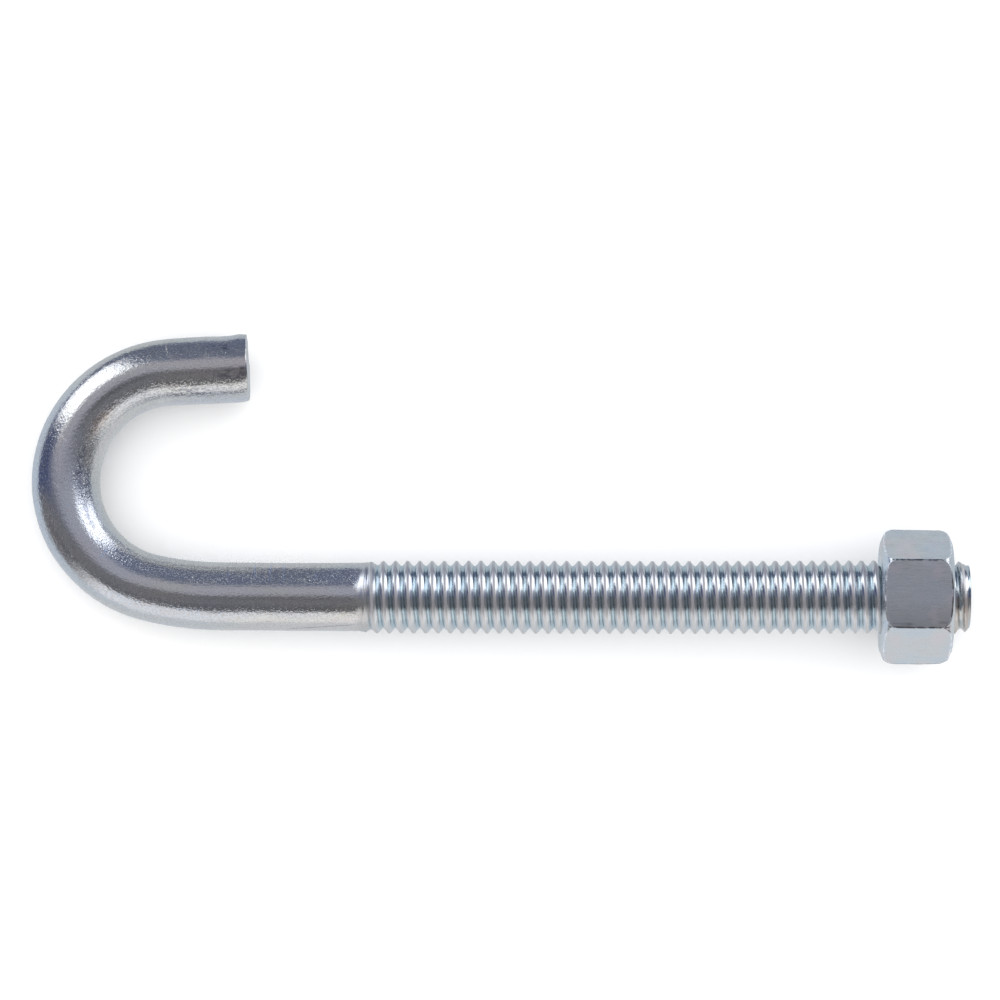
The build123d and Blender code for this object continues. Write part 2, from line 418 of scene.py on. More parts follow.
def hex_radius(phi):
    """Radius of the rounded hexagon; the flats face +h, so a flat's middle is at phi = 90 degrees."""
    d = np.mod(phi - math.pi / 2 + math.pi / 6, math.pi / 3) - math.pi / 6      # from the flat's middle
    c = math.pi / 6 - np.abs(d)                                                # from the corner
    centre = (APOTHEM - CORNER_ROUND) / math.cos(math.pi / 6)
    tangent = math.pi / 6 - math.atan((APOTHEM - CORNER_ROUND) * math.tan(math.pi / 6) / APOTHEM)
    flat = APOTHEM / np.cos(d)
    under = np.clip(CORNER_ROUND ** 2 - (centre * np.sin(c)) ** 2, 0, None)
    arc = centre * np.cos(c) + np.sqrt(under)
    return np.where(c < tangent, arc, flat)


def build_nut():
    # columns: close together at the corners
    c = [0, 0.16, 0.32, 0.48, 0.64, 0.82, 1.1, 1.6, 2.4, 3.6, 5.2, 7.2, 9.5, 12, 14.5, 17, 19.5, 22, 24.5, 27]
    one = sorted(set([x for x in c] + [30] + [60 - x for x in c]))[:-1]
    phis = np.radians(np.concatenate([np.array(one) + 60 * k for k in range(6)]))   # corner at 0 degrees
    n = len(phis)
    hexr = hex_radius(phis)
    from_corner = np.degrees(np.abs(np.mod(phis + math.pi / 6, math.pi / 3) - math.pi / 6))
    w = 1 - smooth(from_corner, 1.6, 8.5)
    curves = CONE_R[None, :] * (1 - w)[:, None] + SHOULDER_R[None, :] * w[:, None]
    crease = np.array([np.interp(h, c, FINE_A) for h, c in zip(hexr, curves)])

    def cone(a):
        return np.array([np.interp(x, FINE_A, c) for x, c in zip(a, curves)])

    H = NUT_H
    rows_r, rows_a, rows_kind = [], [], []

    def add(r, a, kind):
        rows_r.append(np.broadcast_to(np.asarray(r, float), (n,)).copy())
        rows_a.append(np.broadcast_to(np.asarray(a, float), (n,)).copy())
        rows_kind.append(kind)

    # hook-side face, outwards
    for r in (6.15, 6.22, 6.5, 7.0, 7.5, 7.9):
        add(r, 0.0, "face")
    # the crease is rolled over: a small radius between cone and flat
    slope = np.array([(np.interp(c, FINE_A, k) - np.interp(c - 0.06, FINE_A, k)) / 0.06 for c, k in zip(crease, curves)])
    beta = np.arctan(np.clip(slope, 0.05, 3.0))
    rho = 0.15
    tangent = rho * np.tan(beta / 2)
    a_c = crease - tangent * np.cos(beta)
    for t in (0.0, 0.03, 0.08, 0.16, 0.28, 0.42, 0.58, 0.74, 0.88, 0.96):
        a = a_c * t
        add(cone(a), a, "cone")
    arc = [(hexr - rho + rho * np.cos(beta * k), crease + tangent - rho * np.sin(beta * k)) for k in (1.0, 0.75, 0.5, 0.25, 0.0)]
    for r, a in arc:
        add(r, a, "crease")
    L = H - 2 * crease
    for t in (0.03, 0.06, 0.12, 0.2, 0.3, 0.4, 0.5, 0.6, 0.7, 0.8, 0.88, 0.94, 0.97):
        add(hexr, crease + L * t, "side")
    for r, a in arc[::-1]:
        add(r, H - a, "crease")
    for t in (0.96, 0.88, 0.74, 0.58, 0.42, 0.28, 0.16, 0.08, 0.03, 0.0):
        a = a_c * t
        add(cone(a), H - a, "cone")
    for r in (7.9, 7.5, 7.0, 6.5, 6.22, 6.15):
        add(r, H, "face")
    R = np.array(rows_r); A = np.array(rows_a)
    # handling marks: small dents and slightly uneven corners and rims
    ph = np.broadcast_to(phis, R.shape)
    x, y = R * np.cos(ph), R * np.sin(ph)
    kind = np.array(rows_kind)[:, None]
    cornered = smooth(R, 9.45, 9.9)
    R = R + cornered * (0.022 * noise3(A / 0.6, x / 1.2, y / 1.2, 22) - 0.008)
    # the corners are not dead straight along the nut
    R = R + smooth(R, 9.5, 9.9) * np.where(x > 8, 0.035 * (1 - 2 * A / H) - 0.05 * smooth(A, 9.0, 9.8), 0)
    R = R - smooth(R, 9.2, 9.9) * np.where(x < -8, 0.06 * ((A - 5.2) / 5.2) ** 2 + 0.13 * smooth(A, 6.0, 10.2), 0)
    R = R + np.where(kind == "side", 0.006 * noise3(A / 2.6, x / 2.2, y / 2.2, 23), 0)
    rim = np.where(kind == "crease", 1.0, 0.0)
    A = A + rim * 0.030 * noise3(x / 0.8, y / 0.8, A / 3.0, 24)
    P = nut_row(A, R * np.cos(ph), R * np.sin(ph))
    co = np.stack([A, R * np.cos(ph), R * np.sin(ph)], axis=-1)
    m = R.shape[0]
    idx = np.arange(m * n).reshape(m, n)
    nxt = np.roll(idx, -1, axis=1)
    t1 = np.stack([idx[:-1], nxt[:-1], nxt[1:]], axis=-1).reshape(-1, 3)
    t2 = np.stack([idx[:-1], nxt[1:], idx[1:]], axis=-1).reshape(-1, 3)
    order = np.array(rows_kind)
    # the crease rows: the nut's material paints a highlight line on them
    wear_and_glint = np.repeat((order == "crease").astype(float), n)
    outer = (P.reshape(-1, 3), co.reshape(-1, 3), np.concatenate([t1, t2]), wear_and_glint)
    rim_a, rim_b = idx[0], idx[-1]
    return outer, phis, rim_a, rim_b, m * n


def inner_thread(phis, start, rim_a, rim_b, co_list, P_list, tri_list):
    """The nut's thread: a strip that follows the helix, joined to the faces' inner rims."""
    K = len(phis)
    n = 12
    step = PITCH / n
    # distance from the rod's crest, where the nut's own root is
    gap = 0.075
    px = np.array([0.0, 0.10, 0.22, 0.40, 0.58, 0.66, PITCH / 2])
    pr = np.array([5.60, 5.60, 5.46, 5.15, 4.88, 4.80, 4.80]) + 0.20
    a0, a1 = -0.02, NUT_H + 0.02
    base = (CREST_U - NUT_U) % PITCH
    lo_i = -n * 2
    hi_i = int((a1 + PITCH * 2) / step)
    rows = np.arange(lo_i, hi_i + 1)
    frac = np.asarray(phis) / (2 * math.pi)
    raw = (rows[:, None] + n * frac[None, :]) * step + base - PITCH
    phi = np.broadcast_to(phis, raw.shape)
    x = np.mod(raw - base - PITCH * phi / (2 * math.pi), PITCH)
    x = np.minimum(x, PITCH - x)
    r = np.interp(x, px, pr)
    a = np.clip(raw, 0.0, NUT_H)
    depth = np.minimum(a, NUT_H - a)
    mouth = np.interp(depth, [0.0, 0.12, 1.0], [6.15, 5.95, 4.6])
    r = np.maximum(r, mouth)
    beyond = (raw < 0) | (raw > NUT_H)
    r = np.where(beyond, 6.15, r)
    P = nut_row(a, r * np.cos(phi), r * np.sin(phi))
    co = np.stack([a, r * np.cos(phi), r * np.sin(phi)], axis=-1)
    m = len(rows)
    idx = start + np.arange(m * K).reshape(m, K)
    for j in range(K):
        if j < K - 1:
            A, B, C, D = idx[:-1, j], idx[1:, j], idx[:-1, j + 1], idx[1:, j + 1]
        else:
            A, B = idx[: m - 1 - n, j], idx[1 : m - n, j]
            C, D = idx[n:-1, 0], idx[n + 1 :, 0]
        tri_list.append(np.stack([A, C, B], axis=1))
        tri_list.append(np.stack([B, C, D], axis=1))
    P_list.append(P.reshape(-1, 3)); co_list.append(co.reshape(-1, 3))


(outer, phis, rim_a, rim_b, count) = build_nut()
P_list, co_list, tri_list = [outer[0]], [outer[1]], [outer[2]]
inner_thread(phis, count, rim_a, rim_b, co_list, P_list, tri_list)
nco = np.concatenate(co_list)
rim_at = np.concatenate([outer[3], np.zeros(len(nco) - len(outer[3]))])
turn = np.degrees(np.arctan2(nco[:, 2], nco[:, 1]))
corner_at = np.abs(np.mod(turn + 30, 60) - 30)
edge_at = (1 - smooth(corner_at, 0.35, 1.3)) * smooth(np.hypot(nco[:, 1], nco[:, 2]), 9.3, 9.7)
nut = clean_mesh("hex_nut_zinc", np.concatenate(P_list), np.concatenate(tri_list),
                 {"nutco": ("FLOAT_VECTOR", nco), "edge": ("FLOAT", edge_at), "rim": ("FLOAT", rim_at)}, merge=1e-6)
bm = bmesh.new(); bm.from_mesh(nut.data)
bmesh.ops.recalc_face_normals(bm, faces=bm.faces)
bm.to_mesh(nut.data); bm.free()
nut.data.shade_smooth()
nut.data.set_sharp_from_angle(angle=math.radians(40))


# ------------------------------------------------------------------ materials
class Tree:
    def __init__(self, tree):
        self.t = tree
        tree.nodes.clear()

    def node(self, kind, **props):
        n = self.t.nodes.new(kind)
        ins = props.pop("ins", {})
        for k, v in props.items():
            setattr(n, k, v)
        for k, v in ins.items():
            self.put(n.inputs[k], v)
        return n

    def put(self, socket, v):
        if isinstance(v, bpy.types.NodeSocket):
            self.t.links.new(v, socket)
        else:
            socket.default_value = v

    def attr(self, name):
        return self.node("ShaderNodeAttribute", attribute_name=name)

    def scale(self, vec, s):
        return self.node("ShaderNodeVectorMath", operation="MULTIPLY", ins={0: vec, 1: s}).outputs[0]

    def noise(self, vec, scale, detail=2.0, rough=0.5, distort=0.0):
        n = self.node("ShaderNodeTexNoise", ins={"Vector": vec, "Scale": scale, "Detail": detail, "Roughness": rough, "Distortion": distort})
        return n.outputs["Fac"]

    def voronoi(self, vec, scale, feature="F1", rand=1.0):
        return self.node("ShaderNodeTexVoronoi", feature=feature, ins={"Vector": vec, "Scale": scale, "Randomness": rand})

    def math(self, op, a, b=0.0, clamp=False):
        n = self.node("ShaderNodeMath", operation=op, use_clamp=clamp)
        self.put(n.inputs[0], a)
        if len(n.inputs) > 1:
            self.put(n.inputs[1], b)
        return n.outputs[0]

    def map(self, v, a, b, c=0.0, d=1.0, kind="SMOOTHSTEP"):
        n = self.node("ShaderNodeMapRange", interpolation_type=kind)
        self.put(n.inputs["Value"], v)
        for k, x in (("From Min", a), ("From Max", b), ("To Min", c), ("To Max", d)):
            n.inputs[k].default_value = x
        return n.outputs["Result"]

    def mix(self, fac, a, b, blend="MIX"):
        n = self.node("ShaderNodeMix", data_type="RGBA", blend_type=blend)
        self.put(n.inputs[0], fac)
        for s, v in ((6, a), (7, b)):
            if isinstance(v, tuple):
                v = (*v, 1.0) if len(v) == 3 else v
            self.put(n.inputs[s], v)
        return n.outputs[2]

    def bump(self, height, distance, normal=None, strength=1.0):
        n = self.node("ShaderNodeBump", ins={"Height": height, "Distance": distance, "Strength": strength})
        if normal is not None:
            self.put(n.inputs["Normal"], normal)
        return n.outputs["Normal"]


def spot(t, vec, centre, size, edge=0.4):
    """1 inside an ellipsoid round a point of the given coordinates, 0 outside."""
    d = t.node("ShaderNodeVectorMath", operation="SUBTRACT", ins={0: vec, 1: centre}).outputs[0]
    d = t.scale(d, tuple(1.0 / s for s in size))
    n = t.node("ShaderNodeVectorMath", operation="LENGTH", ins={0: d}).outputs["Value"]
    return t.map(n, 1.0 - edge, 1.0 + edge, 1.0, 0.0)


def zinc_rod():
    m = bpy.data.materials.new("zinc_rod")
    m.use_nodes = True
    t = Tree(m.node_tree)
    co = t.attr("rodco").outputs["Vector"]
    thread = t.attr("thread").outputs["Fac"]
    along = t.scale(co, (0.30, 1.0, 1.0))
    mott = t.noise(along, 0.55, 4.0, 0.55)                       # broad mottling, 2 mm
    speck = t.noise(t.scale(co, (0.6, 1.0, 1.0)), 2.6, 3.0, 0.6)   # fine grain of the plating, 0.4 mm
    drawn = t.noise(t.scale(co, (0.035, 1.0, 1.0)), 2.4, 3.0, 0.6)   # lengthwise drawing lines
    rings = t.noise(t.scale(co, (1.0, 0.05, 0.05)), 7.0, 2.0, 0.6)   # circumferential rolling lines
    # colour: cold zinc with faint iridescence of the clear passivate
    tint = t.noise(t.scale(co, (0.25, 1.0, 1.0)), 0.16, 2.0, 0.5)
    ramp = t.node("ShaderNodeValToRGB", ins={"Fac": tint})
    cr = ramp.color_ramp
    cr.elements[0].position = 0.30; cr.elements[0].color = (0.70, 0.755, 0.83, 1)
    cr.elements[1].position = 0.70; cr.elements[1].color = (0.80, 0.765, 0.755, 1)
    e = cr.elements.new(0.45); e.color = (0.74, 0.765, 0.79, 1)
    e = cr.elements.new(0.58); e.color = (0.785, 0.79, 0.755, 1)
    where = t.node("ShaderNodeSeparateXYZ", ins={0: co})
    along_u, side, up = where.outputs
    wear_and_glint = t.math("MULTIPLY", t.map(side, 0.9, 2.6, 0.22, 1.0), t.map(mott, 0.30, 0.70, 0.65, 1.15, "LINEAR"))
    wear_and_glint = t.math("ADD", wear_and_glint, t.map(side, -1.2, -2.4, 0.0, 0.30))
    crest = t.attr("crest").outputs["Fac"]
    top = t.attr("top").outputs["Fac"]
    groove = t.attr("groove").outputs["Fac"]
    plain = t.math("SUBTRACT", 1.0, thread)
    base = ramp.outputs["Color"]
    dull = t.map(mott, 0.42, 0.72)
    base = t.mix(t.math("MULTIPLY", dull, 0.22), base, (0.66, 0.66, 0.68))
    # dark pin spots and a warmer dusting in patches
    pin = t.noise(t.scale(co, (0.7, 1.0, 1.0)), 3.4, 2.0, 0.6)
    base = t.mix(t.math("MULTIPLY", t.map(pin, 0.66, 0.76), 0.40), base, (0.36, 0.34, 0.33))
    warm = t.noise(t.scale(co, (0.5, 1.0, 1.0)), 0.9, 5.0, 0.7)
    base = t.mix(t.math("MULTIPLY", t.map(warm, 0.56, 0.70), 0.45), base, (0.74, 0.68, 0.60))
    # brown dust in the grain low on the hook's open side, blue streaks round the rod and one long scratch
    dust = t.math("MULTIPLY", t.map(t.noise(t.scale(co, (0.8, 1.0, 1.0)), 2.6, 4.0, 0.65), 0.50, 0.66), t.map(side, -1.6, -2.3))
    dust = t.math("MULTIPLY", dust, t.map(side, -4.3, -3.2))
    base = t.mix(t.math("MULTIPLY", dust, 0.50), base, (0.62, 0.53, 0.43))
    streak = 0.0
    for u0, half, lo, hi in ((5.1, 0.13, 2.2, 4.6), (7.4, 0.16, 1.7, 4.7), (9.4, 0.14, 2.0, 4.7), (14.2, 0.10, 2.2, 3.6), (1.2, 0.12, 1.8, 3.9), (-19.4, 0.18, 0.5, 3.8)):
        near = t.map(t.math("ABSOLUTE", t.math("SUBTRACT", t.math("ADD", along_u, t.math("MULTIPLY", side, 0.06)), u0)), half * 0.3, half, 1.0, 0.0)
        part = t.math("MULTIPLY", t.map(side, lo, lo + 0.5), t.map(side, hi - 0.4, hi, 1.0, 0.0))
        streak = t.math("MAXIMUM", streak, t.math("MULTIPLY", near, part))
    streak = t.math("MULTIPLY", streak, t.map(speck, 0.35, 0.55))
    base = t.mix(t.math("MULTIPLY", streak, 0.8), base, (0.50, 0.66, 0.95))
    cut = t.math("SUBTRACT", side, t.math("ADD", -4.82, t.math("MULTIPLY", t.math("SUBTRACT", along_u, 9.8), 0.054)))
    cut = t.map(t.math("ABSOLUTE", t.math("ADD", cut, t.math("MULTIPLY", t.math("SUBTRACT", mott, 0.5), 0.25))), 0.02, 0.09, 1.0, 0.0)
    cut = t.math("MULTIPLY", cut, t.math("MULTIPLY", t.map(along_u, 9.6, 10.4), t.map(along_u, 18.6, 19.8, 1.0, 0.0)))
    base = t.mix(t.math("MULTIPLY", cut, 0.6), base, (0.36, 0.36, 0.40))
    smudge = 0.0
    for at, size in (((-68.3, 1.3, 4.8), (2.6, 0.85, 1.4)), ((-69.6, 0.3, 5.0), (1.1, 0.5, 1.2)), ((-66.6, -2.9, 4.1), (2.0, 0.55, 1.2)),
                     ((-61.5, 3.4, 3.7), (3.6, 0.45, 1.0)), ((-29.0, 2.9, 4.1), (4.5, 0.6, 1.2)), ((-36.0, 2.6, 4.3), (4.0, 0.5, 1.2))):
        smudge = t.math("MAXIMUM", smudge, spot(t, co, at, size, 0.6))
    smudge = t.math("MULTIPLY", smudge, t.map(t.noise(t.scale(co, (0.6, 1.2, 1.2)), 1.6, 3.0, 0.6), 0.44, 0.56))
    base = t.mix(t.math("MULTIPLY", smudge, 0.62), base, (0.20, 0.22, 0.29))
    copper = t.math("MULTIPLY", spot(t, co, (-44.3, 2.6, 4.3), (3.0, 0.8, 1.5), 0.7), t.map(speck, 0.35, 0.6, 0.3, 1.0))
    base = t.mix(t.math("MULTIPLY", copper, 0.55), base, (0.74, 0.56, 0.44))
    # salt-and-pepper grain of the plating
    pepper = t.noise(t.scale(co, (0.75, 1.0, 1.0)), 4.2, 2.0, 0.65)
    pepper = t.math("MULTIPLY", t.map(pepper, 0.40, 0.64), t.map(thread, 0, 1, 0.27, 0.14, "LINEAR"))
    base = t.mix(pepper, base, (0.40, 0.40, 0.43))
    # painted shade: the thread is painted darker and greyer towards its -v side
    thread_side_shade = t.math("MULTIPLY", thread, t.map(side, -0.4, -2.0))
    base = t.mix(t.math("MULTIPLY", thread_side_shade, 0.16), base, (0.30, 0.30, 0.30))
    # crests: rubbed bare and warmer; grooves: cool, thicker passivate
    base = t.mix(t.math("MULTIPLY", crest, 0.80), base, (0.77, 0.82, 0.85))
    base = t.mix(t.math("MULTIPLY", top, 0.78), base, (0.87, 0.84, 0.81))
    base = t.mix(t.math("MULTIPLY", groove, 0.90), base, (0.54, 0.68, 0.745))
    # the last turns, handled most, are browner
    last = t.math("MULTIPLY", t.map(along_u, 106.4, 108.6), t.map(side, 3.2, -2.5, 0.15, 0.75))
    base = t.mix(t.math("MULTIPLY", last, t.map(mott, 0.35, 0.6, 0.3, 0.9)), base, (0.74, 0.61, 0.50))
    rough = t.map(mott, 0.30, 0.75, 0.11, 0.19, "LINEAR")
    rough = t.math("ADD", rough, t.math("MULTIPLY", t.map(warm, 0.5, 0.75), 0.10))
    rough = t.math("ADD", rough, t.math("MULTIPLY", crest, 0.06))
    rough = t.math("ADD", rough, t.math("MULTIPLY", top, 0.28))
    rough = t.math("ADD", rough, t.math("MULTIPLY", t.attr("scuff").outputs["Fac"], 0.14))
    # plating grain: shallow pits and bumps that catch the next light
    pits = t.noise(t.scale(co, (0.62, 1.0, 1.0)), 3.0, 2.0, 0.55)
    fine = t.map(t.noise(t.scale(co, (0.7, 1.0, 1.0)), 4.6, 1.0, 0.5), 0.50, 0.74)
    n = t.bump(t.attr("full").outputs["Fac"], 0.3e-3)
    n = t.bump(t.math("MULTIPLY", drawn, t.map(thread, 0, 1, 1.0, 0.2, "LINEAR")), 7.0e-6, n)
    n = t.bump(t.math("MULTIPLY", pits, t.map(thread, 0, 1, 1.0, 0.16, "LINEAR")), 24.0e-6, n)
    fine = t.math("MULTIPLY", fine, wear_and_glint)
    n = t.bump(t.math("MULTIPLY", fine, t.map(thread, 0, 1, 1.0, 0.15, "LINEAR")), 21.0e-6, n)
    n = t.bump(t.math("MULTIPLY", mott, t.map(thread, 0, 1, 1.0, 0.3, "LINEAR")), 16.0e-6, n)
    # pale salt specks of the passivate
    salt = t.map(t.noise(t.scale(co, (0.75, 1.0, 1.0)), 4.8, 1.0, 0.5), 0.50, 0.66)
    salt = t.math("MULTIPLY", salt, t.math("MULTIPLY", wear_and_glint, t.map(thread, 0, 1, 0.23, 0.08, "LINEAR")))
    salt = t.math("ADD", salt, t.math("MULTIPLY", streak, 0.10))
    scar = 0.0
    for u0, v0, lean, half in ((-39.4, -0.9, 0.5, 1.1), (-40.2, -1.6, -0.35, 0.7), (-32.5, -0.6, 0.9, 0.8), (-53.0, -1.9, 0.6, 0.9), (-58.5, -3.0, -0.2, 1.0), (-14.6, 3.6, 0.5, 1.2)):
        off = t.math("ABSOLUTE", t.math("SUBTRACT", t.math("SUBTRACT", along_u, u0), t.math("MULTIPLY", t.math("SUBTRACT", side, v0), lean)))
        reach = t.map(t.math("ABSOLUTE", t.math("SUBTRACT", side, v0)), half * 0.5, half, 1.0, 0.0)
        scar = t.math("MAXIMUM", scar, t.math("MULTIPLY", t.map(off, 0.03, 0.12, 1.0, 0.0), reach))
    scar = t.math("MULTIPLY", scar, t.map(up, 0.3, 1.0))
    salt = t.math("ADD", salt, t.math("MULTIPLY", scar, 0.22))
    metal = t.math("SUBTRACT", 1.0, salt)
    b = t.node("ShaderNodeBsdfPrincipled", ins={"Base Color": base, "Metallic": metal, "Roughness": rough, "Normal": n})
    out = t.node("ShaderNodeOutputMaterial", ins={"Surface": b.outputs[0]})
    return m


def zinc_nut():
    m = bpy.data.materials.new("zinc_nut")
    m.use_nodes = True
    t = Tree(m.node_tree)
    co = t.attr("nutco").outputs["Vector"]
    depth, across, up = t.node("ShaderNodeSeparateXYZ", ins={0: co}).outputs
    mott = t.noise(co, 0.7, 4.0, 0.6)
    grain = t.noise(co, 3.6, 4.0, 0.65)
    lines = t.noise(t.scale(co, (0.12, 1.0, 1.0)), 2.6, 3.0, 0.65)       # scratches along the flats
    tint = t.noise(co, 0.20, 2.0, 0.5)
    ramp = t.node("ShaderNodeValToRGB", ins={"Fac": tint})
    cr = ramp.color_ramp
    cr.elements[0].position = 0.34; cr.elements[0].color = (0.745, 0.82, 0.89, 1)
    cr.elements[1].position = 0.66; cr.elements[1].color = (0.86, 0.82, 0.84, 1)
    e = cr.elements.new(0.46); e.color = (0.785, 0.835, 0.865, 1)
    e = cr.elements.new(0.57); e.color = (0.815, 0.835, 0.835, 1)
    base = ramp.outputs["Color"]
    # painted shade: the flat facing up is painted darker than the other flats, darker and rougher still towards its
    # lower edge
    face = t.map(up, 8.45, 8.60)
    base = t.mix(t.math("MULTIPLY", face, 0.50), base, (0.60, 0.635, 0.64))
    foot = t.math("MULTIPLY", face, t.map(t.math("ADD", across, t.math("MULTIPLY", mott, 1.6)), 0.4, -4.6, 0.0, 1.0))
    base = t.mix(t.math("MULTIPLY", foot, 0.45), base, (0.38, 0.38, 0.37))
    mark = t.map(lines, 0.54, 0.72)
    base = t.mix(t.math("MULTIPLY", mark, t.math("ADD", 0.10, t.math("MULTIPLY", foot, 0.55))), base, (0.26, 0.26, 0.27))
    base = t.mix(t.math("MULTIPLY", t.map(grain, 0.60, 0.80), 0.30), base, (0.45, 0.45, 0.47))
    # painted dark reflection along the corners between flats, broken up by noise
    edge = t.attr("edge").outputs["Fac"]
    breakup = t.noise(t.scale(co, (0.9, 1.0, 1.0)), 1.3, 3.0, 0.6)
    base = t.mix(t.math("MULTIPLY", edge, t.map(breakup, 0.43, 0.53, 0.08, 0.92)), base, (0.10, 0.10, 0.115))
    # painted highlight: a pale bluish-white line along the rolled creases between cone and flats, broken up by noise
    rim = t.math("MULTIPLY", t.attr("rim").outputs["Fac"], t.map(breakup, 0.36, 0.54, 1.0, 0.35))
    base = t.mix(rim, base, (0.86, 0.91, 0.97))
    # darker along the crease of the near flat, more of it on the outer side; the painted highlight on the crease is
    # taken away there
    crease = t.math("MULTIPLY", t.attr("rim").outputs["Fac"], t.map(up, 7.2, 8.0))
    crease_dark = t.math("MULTIPLY", crease, t.math("MULTIPLY", t.map(depth, 4.0, 6.0, 0.35, 1.0), t.map(across, 3.9, 1.8)))
    base = t.mix(t.math("MULTIPLY", crease_dark, t.map(breakup, 0.36, 0.50, 0.35, 0.95)), base, (0.13, 0.115, 0.10))
    rim = t.math("MULTIPLY", rim, t.math("SUBTRACT", 1.0, crease_dark))
    # faint pink and yellow bloom and a few hair scratches on the flats
    bloom = t.noise(co, 0.45, 2.0, 0.5)
    base = t.mix(t.math("MULTIPLY", t.map(bloom, 0.56, 0.68), 0.30), base, (0.88, 0.78, 0.82))
    hair = t.noise(t.scale(co, (0.5, 1.9, 1.9)), 1.5, 1.0, 0.5)
    hair = t.map(t.math("ABSOLUTE", t.math("SUBTRACT", hair, 0.56)), 0.001, 0.006, 1.0, 0.0)
    base = t.mix(t.math("MULTIPLY", t.math("MULTIPLY", hair, t.map(mott, 0.50, 0.60)), 0.35), base, (0.42, 0.42, 0.44))
    rough = t.map(mott, 0.30, 0.75, 0.20, 0.32, "LINEAR")
    rough = t.math("ADD", rough, t.math("MULTIPLY", foot, 0.10))
    n = t.bump(lines, 10.0e-6)
    n = t.bump(grain, 8.0e-6, n)
    n = t.bump(mott, 10.0e-6, n)
    # the crease line is made less metallic so the fill light shows it pale: part of the painted highlight
    metal = t.math("SUBTRACT", 1.0, t.math("MULTIPLY", rim, 0.42))
    b = t.node("ShaderNodeBsdfPrincipled", ins={"Base Color": base, "Metallic": metal, "Roughness": rough, "Normal": n})
    t.node("ShaderNodeOutputMaterial", ins={"Surface": b.outputs[0]})
    return m


rod.data.materials.append(zinc_rod())
nut.data.materials.append(zinc_nut())

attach(rod, "bolt")
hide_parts("j_bolt")
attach(nut, "nut")
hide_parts("hex_nut")

# ---------------------------------------------------------- floor and studio
floor_mesh = bpy.data.meshes.new("floor")
S = 4.0
floor_mesh.from_pydata([(-S, -S, 0), (S, -S, 0), (S, S, 0), (-S, S, 0)], [], [(0, 1, 2, 3)])
floor = bpy.data.objects.new("floor", floor_mesh)
bpy.context.scene.collection.objects.link(floor)
fm = bpy.data.materials.new("floor_pale")
fm.use_nodes = True
ft = Tree(fm.node_tree)
fb = ft.node("ShaderNodeBsdfDiffuse", ins={"Color": (0.90, 0.90, 0.90, 1)})
ft.node("ShaderNodeOutputMaterial", ins={"Surface": fb.outputs[0]})
floor_mesh.materials.append(fm)
floor.visible_glossy = False        # reflections see the studio's own lower half instead

# Studio: a pale ceiling, two softboxes behind at left and right, a low bright
# card in front, darker walls. Given as a direction-based world.
world = bpy.data.worlds.new("studio")
bpy.context.scene.world = world
world.use_nodes = True
w = Tree(world.node_tree)
d = w.node("ShaderNodeTexCoord").outputs["Generated"]
sep = w.node("ShaderNodeSeparateXYZ", ins={0: d})
dx, dy, dz = sep.outputs


def direction(az, zen):
    a, z = math.radians(az), math.radians(zen)
    return (math.cos(a) * math.sin(z), math.sin(a) * math.sin(z), math.cos(z))


def cap(az, zen, r_in, r_out):
    """1 within r_in degrees of a direction, 0 beyond r_out."""
    c = w.node("ShaderNodeVectorMath", operation="DOT_PRODUCT", ins={0: d, 1: direction(az, zen)}).outputs["Value"]
    a = w.math("ARCCOSINE", w.math("MINIMUM", c, 0.99999))
    return w.map(w.math("MULTIPLY", a, 180 / math.pi), r_in, r_out, 1.0, 0.0)


def times(col, fac):
    return w.node("ShaderNodeVectorMath", operation="SCALE", ins={0: col, "Scale": fac}).outputs[0]


def plus(a, b):
    return w.node("ShaderNodeVectorMath", operation="ADD", ins={0: a, 1: b}).outputs[0]


# angles of the direction in degrees: across the rod, along the rod, azimuth, zenith
DEG = 180 / math.pi
psi = w.math("MULTIPLY", w.math("ARCTAN2", dy, dz), DEG)
chi = w.math("MULTIPLY", w.math("ARCTAN2", dx, dz), DEG)
az = w.math("MULTIPLY", w.math("ARCTAN2", dy, dx), DEG)
zen = w.math("MULTIPLY", w.math("ARCCOSINE", w.math("MAXIMUM", w.math("MINIMUM", dz, 0.99999), -0.99999)), DEG)


def window(v, a, b, soft):
    return w.math("MULTIPLY", w.map(v, a - soft, a + soft), w.map(v, b - soft, b + soft, 1.0, 0.0))


def dim(col, fac, share):
    """Darkens col by share where fac is 1."""
    return times(col, w.math("SUBTRACT", 1.0, w.math("MULTIPLY", fac, share)))


# walls: grey-blue behind, darker at the sides, grey in front
env = w.mix(w.map(dx, -0.85, -0.35, 1.0, 0.0), (0.145, 0.166, 0.240), (0.070, 0.090, 0.185))
env = w.mix(w.map(dx, 0.45, 0.90), env, (0.090, 0.112, 0.190))
env = w.mix(w.map(dy, -0.08, 0.06, 1.0, 0.0), env, (0.185, 0.183, 0.200))
# pale ceiling, a long patch above the rod
ex = w.math("DIVIDE", chi, 50.0)
ey = w.math("DIVIDE", w.math("SUBTRACT", psi, 17.0), 17.5)
er = w.math("SQRT", w.math("ADD", w.math("MULTIPLY", ex, ex), w.math("MULTIPLY", ey, ey)))
ceiling = w.math("MULTIPLY", w.map(er, 0.62, 1.34, 1.0, 0.0), w.map(dz, 0.02, 0.25))
env = plus(env, times((0.259, 0.234, 0.212), ceiling))
# the dark rig round the camera, and the shadow gap above the front card
env = dim(env, cap(268, 8, 3, 12), 0.42)
front_side = w.map(dy, -0.35, -0.15, 1.0, 0.0)
env = dim(env, w.math("MULTIPLY", window(psi, -56, -44, 3.5), front_side), 0.35)
env = dim(env, w.math("MULTIPLY", window(psi, -44, -33, 3.0), w.map(dz, 0.2, 0.5)), 0.22)
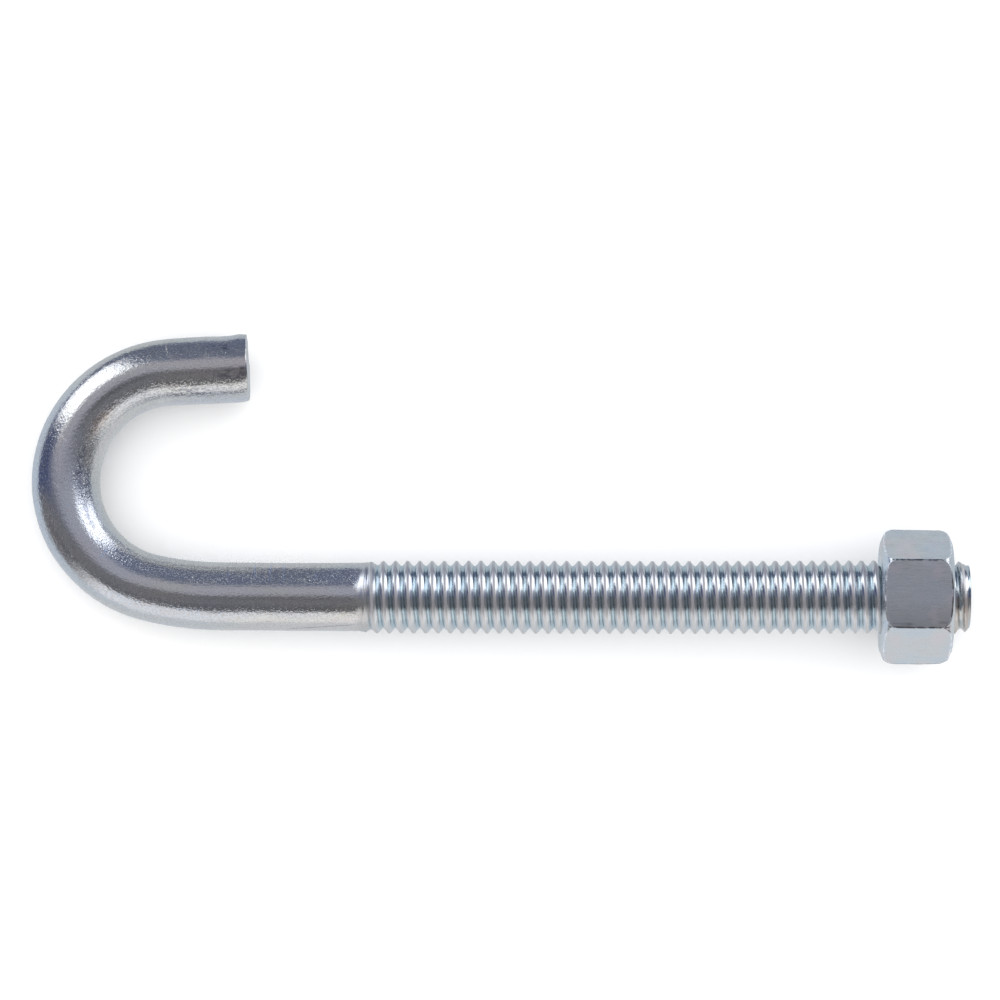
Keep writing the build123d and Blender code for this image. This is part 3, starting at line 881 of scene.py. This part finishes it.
# two softboxes behind, one at each side
left_az, right_az = window(az, 121, 150, 6), window(az, 23, 57, 6)
box_left = w.math("MULTIPLY", left_az, window(zen, 38, 87, 6))
box_right = w.math("MULTIPLY", right_az, window(zen, 37, 92, 6))
side_right = w.math("MULTIPLY", window(az, 2, 20, 6), window(zen, 40, 72, 8))
env = plus(env, times((1.75, 1.77, 1.80), box_left))
env = plus(env, times((1.75, 1.77, 1.82), box_right))
env = plus(env, times((0.10, 0.10, 0.11), side_right))
# low bright card in front
front = w.math("MULTIPLY", window(az, -141, -32, 12), w.map(zen, 55.5, 61.5))
env = plus(env, times((0.735, 0.73, 0.735), front))
# the table below: it starts lower down behind, where the wall's foot is in shadow
low = w.map(w.math("SUBTRACT", zen, w.math("MULTIPLY", window(az, 50, 130, 14), 11.5)), 97, 103)
table = w.mix(w.map(dy, -0.1, 0.1), (0.66, 0.685, 0.725), (0.55, 0.59, 0.63))
table = w.mix(w.map(dx, -0.3, -0.75), table, (0.60, 0.66, 0.74))
env = w.mix(low, env, table)
# what lights the floor: the same two boxes, dimmed, and an even white dome
fill = plus((1.56, 1.56, 1.56), times((0.40, 0.40, 0.40), w.math("ADD", box_left, box_right)))
path = w.node("ShaderNodeLightPath")
back_env = w.node("ShaderNodeBackground", ins={"Color": env, "Strength": 1.0})
back_fill = w.node("ShaderNodeBackground", ins={"Color": fill, "Strength": 1.0})
back_cam = w.node("ShaderNodeBackground", ins={"Color": (0.93, 0.93, 0.93, 1), "Strength": 1.0})
mix1 = w.node("ShaderNodeMixShader", ins={0: path.outputs["Is Diffuse Ray"], 1: back_env.outputs[0], 2: back_fill.outputs[0]})
mix2 = w.node("ShaderNodeMixShader", ins={0: path.outputs["Is Camera Ray"], 1: mix1.outputs[0], 2: back_cam.outputs[0]})
w.node("ShaderNodeOutputWorld", ins={"Surface": mix2.outputs[0]})

scene = bpy.context.scene
scene.view_settings.view_transform = "Standard"
scene.view_settings.look = "None"
scene.view_settings.exposure = 0.0

# --------------------------------------------------------------------- camera
AL, TA, RO = math.radians(4.845), math.radians(1.134), math.radians(0.113)
rot = Matrix.Rotation(AL, 3, "X") @ Matrix.Rotation(TA, 3, "Y") @ Matrix.Rotation(RO, 3, "Z")
cam_data = bpy.data.cameras.new("camera")
cam = bpy.data.objects.new("camera", cam_data)
bpy.context.scene.collection.objects.link(cam)
cam_data.sensor_width = 36.0
cam_data.lens = 3652.5 * 36.0 / 1000.0
cam_data.clip_start, cam_data.clip_end = 0.01, 20.0
target = Vector((0.227, 0.378, 0.0)) * MM
cam.location = target + rot.col[2] * 0.550
cam.rotation_mode = "QUATERNION"
cam.rotation_quaternion = rot.to_quaternion()
bpy.context.scene.camera = cam
